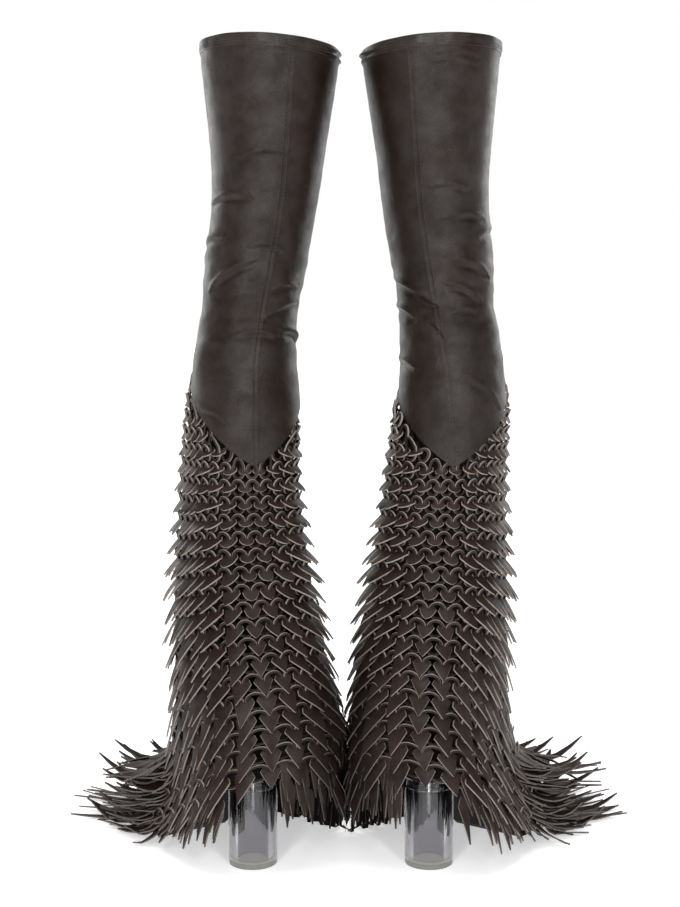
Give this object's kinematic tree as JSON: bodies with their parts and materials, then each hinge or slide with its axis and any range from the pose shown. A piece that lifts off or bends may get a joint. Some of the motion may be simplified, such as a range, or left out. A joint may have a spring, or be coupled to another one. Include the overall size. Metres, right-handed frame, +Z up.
{
  "type": "thigh-high boots",
  "caption": "Pair of thigh-high leather boots with bell bottoms of interlocked pointed leather links and clear cylinder heels.",
  "frame": {"origin": "on the floor, under the middle of the pair's box", "axes": "+Z up the legs, +Y ahead of the wearer, +X from the left boot to the right boot"},
  "size_m": [0.6276, 0.3458, 0.8468],
  "materials": {
    "shaft_leather": "smooth stretch nappa, semi-matt, dark brown-grey",
    "link_leather": "laser-cut leather, dark brown grain side with pale raw edges",
    "sleeve_knit": "black-brown stretch knit",
    "grip_rubber": "matt silicone grip tape",
    "clear_acrylic": "polished clear acrylic",
    "top_lift_rubber": "grey semi-translucent rubber",
    "sole_leather": "dark finished sole leather",
    "insole_board": "pressed cellulose board",
    "stiffener_fibre": "thermoplastic-bonded fibre stiffener",
    "lining_leather": "dark lining leather",
    "shank_steel": "spring steel strip",
    "screw_steel": "zinc-plated steel"
  },
  "bodies": {
    "left_boot": {"left_calf_inner_panel": "shaft_leather", "left_calf_outer_panel": "shaft_leather", "left_floor_fringe": "link_leather", "left_foot_upper": "shaft_leather", "left_heel": "clear_acrylic", "left_heel_counter": "stiffener_fibre", "left_heel_screw": "screw_steel", "left_inner_sleeve": "sleeve_knit", "left_insole_board": "insole_board", "left_knee_leather": "shaft_leather", "left_mail_tier_1": "link_leather", "left_mail_tier_2": "link_leather", "left_mail_tier_3": "link_leather", "left_mail_tier_4": "link_leather", "left_mail_tier_5": "link_leather", "left_mail_tier_6": "link_leather", "left_mail_tier_7": "link_leather", "left_mail_tier_8": "link_leather", "left_outsole": "sole_leather", "left_shank": "shank_steel", "left_sock_lining": "lining_leather", "left_toe_puff": "stiffener_fibre", "left_top_lift": "top_lift_rubber"},
    "left_thigh": {"left_grip_band": "grip_rubber", "left_thigh_inner_panel": "shaft_leather", "left_thigh_outer_panel": "shaft_leather", "left_top_hem": "shaft_leather"},
    "right_boot": {"right_calf_inner_panel": "shaft_leather", "right_calf_outer_panel": "shaft_leather", "right_floor_fringe": "link_leather", "right_foot_upper": "shaft_leather", "right_heel": "clear_acrylic", "right_heel_counter": "stiffener_fibre", "right_heel_screw": "screw_steel", "right_inner_sleeve": "sleeve_knit", "right_insole_board": "insole_board", "right_knee_leather": "shaft_leather", "right_mail_tier_1": "link_leather", "right_mail_tier_2": "link_leather", "right_mail_tier_3": "link_leather", "right_mail_tier_4": "link_leather", "right_mail_tier_5": "link_leather", "right_mail_tier_6": "link_leather", "right_mail_tier_7": "link_leather", "right_mail_tier_8": "link_leather", "right_outsole": "sole_leather", "right_shank": "shank_steel", "right_sock_lining": "lining_leather", "right_toe_puff": "stiffener_fibre", "right_top_lift": "top_lift_rubber"},
    "right_thigh": {"right_grip_band": "grip_rubber", "right_thigh_inner_panel": "shaft_leather", "right_thigh_outer_panel": "shaft_leather", "right_top_hem": "shaft_leather"}
  },
  "joints": [
    {"name": "left_knee_flex", "type": "hinge", "parent": "left_boot", "child": "left_thigh", "pos_m": [-0.0939, -0.0537, 0.6], "axis": [1, 0, 0], "range_deg": [0, 90], "deforming": ["left_knee_leather"]},
    {"name": "boots_apart", "type": "slide", "parent": "left_boot", "child": "right_boot", "axis": [1, 0, 0], "range_m": [0, 0.3]},
    {"name": "right_knee_flex", "type": "hinge", "parent": "right_boot", "child": "right_thigh", "pos_m": [0.1059, -0.0537, 0.6], "axis": [1, 0, 0], "range_deg": [0, 90], "deforming": ["right_knee_leather"]}
  ]
}
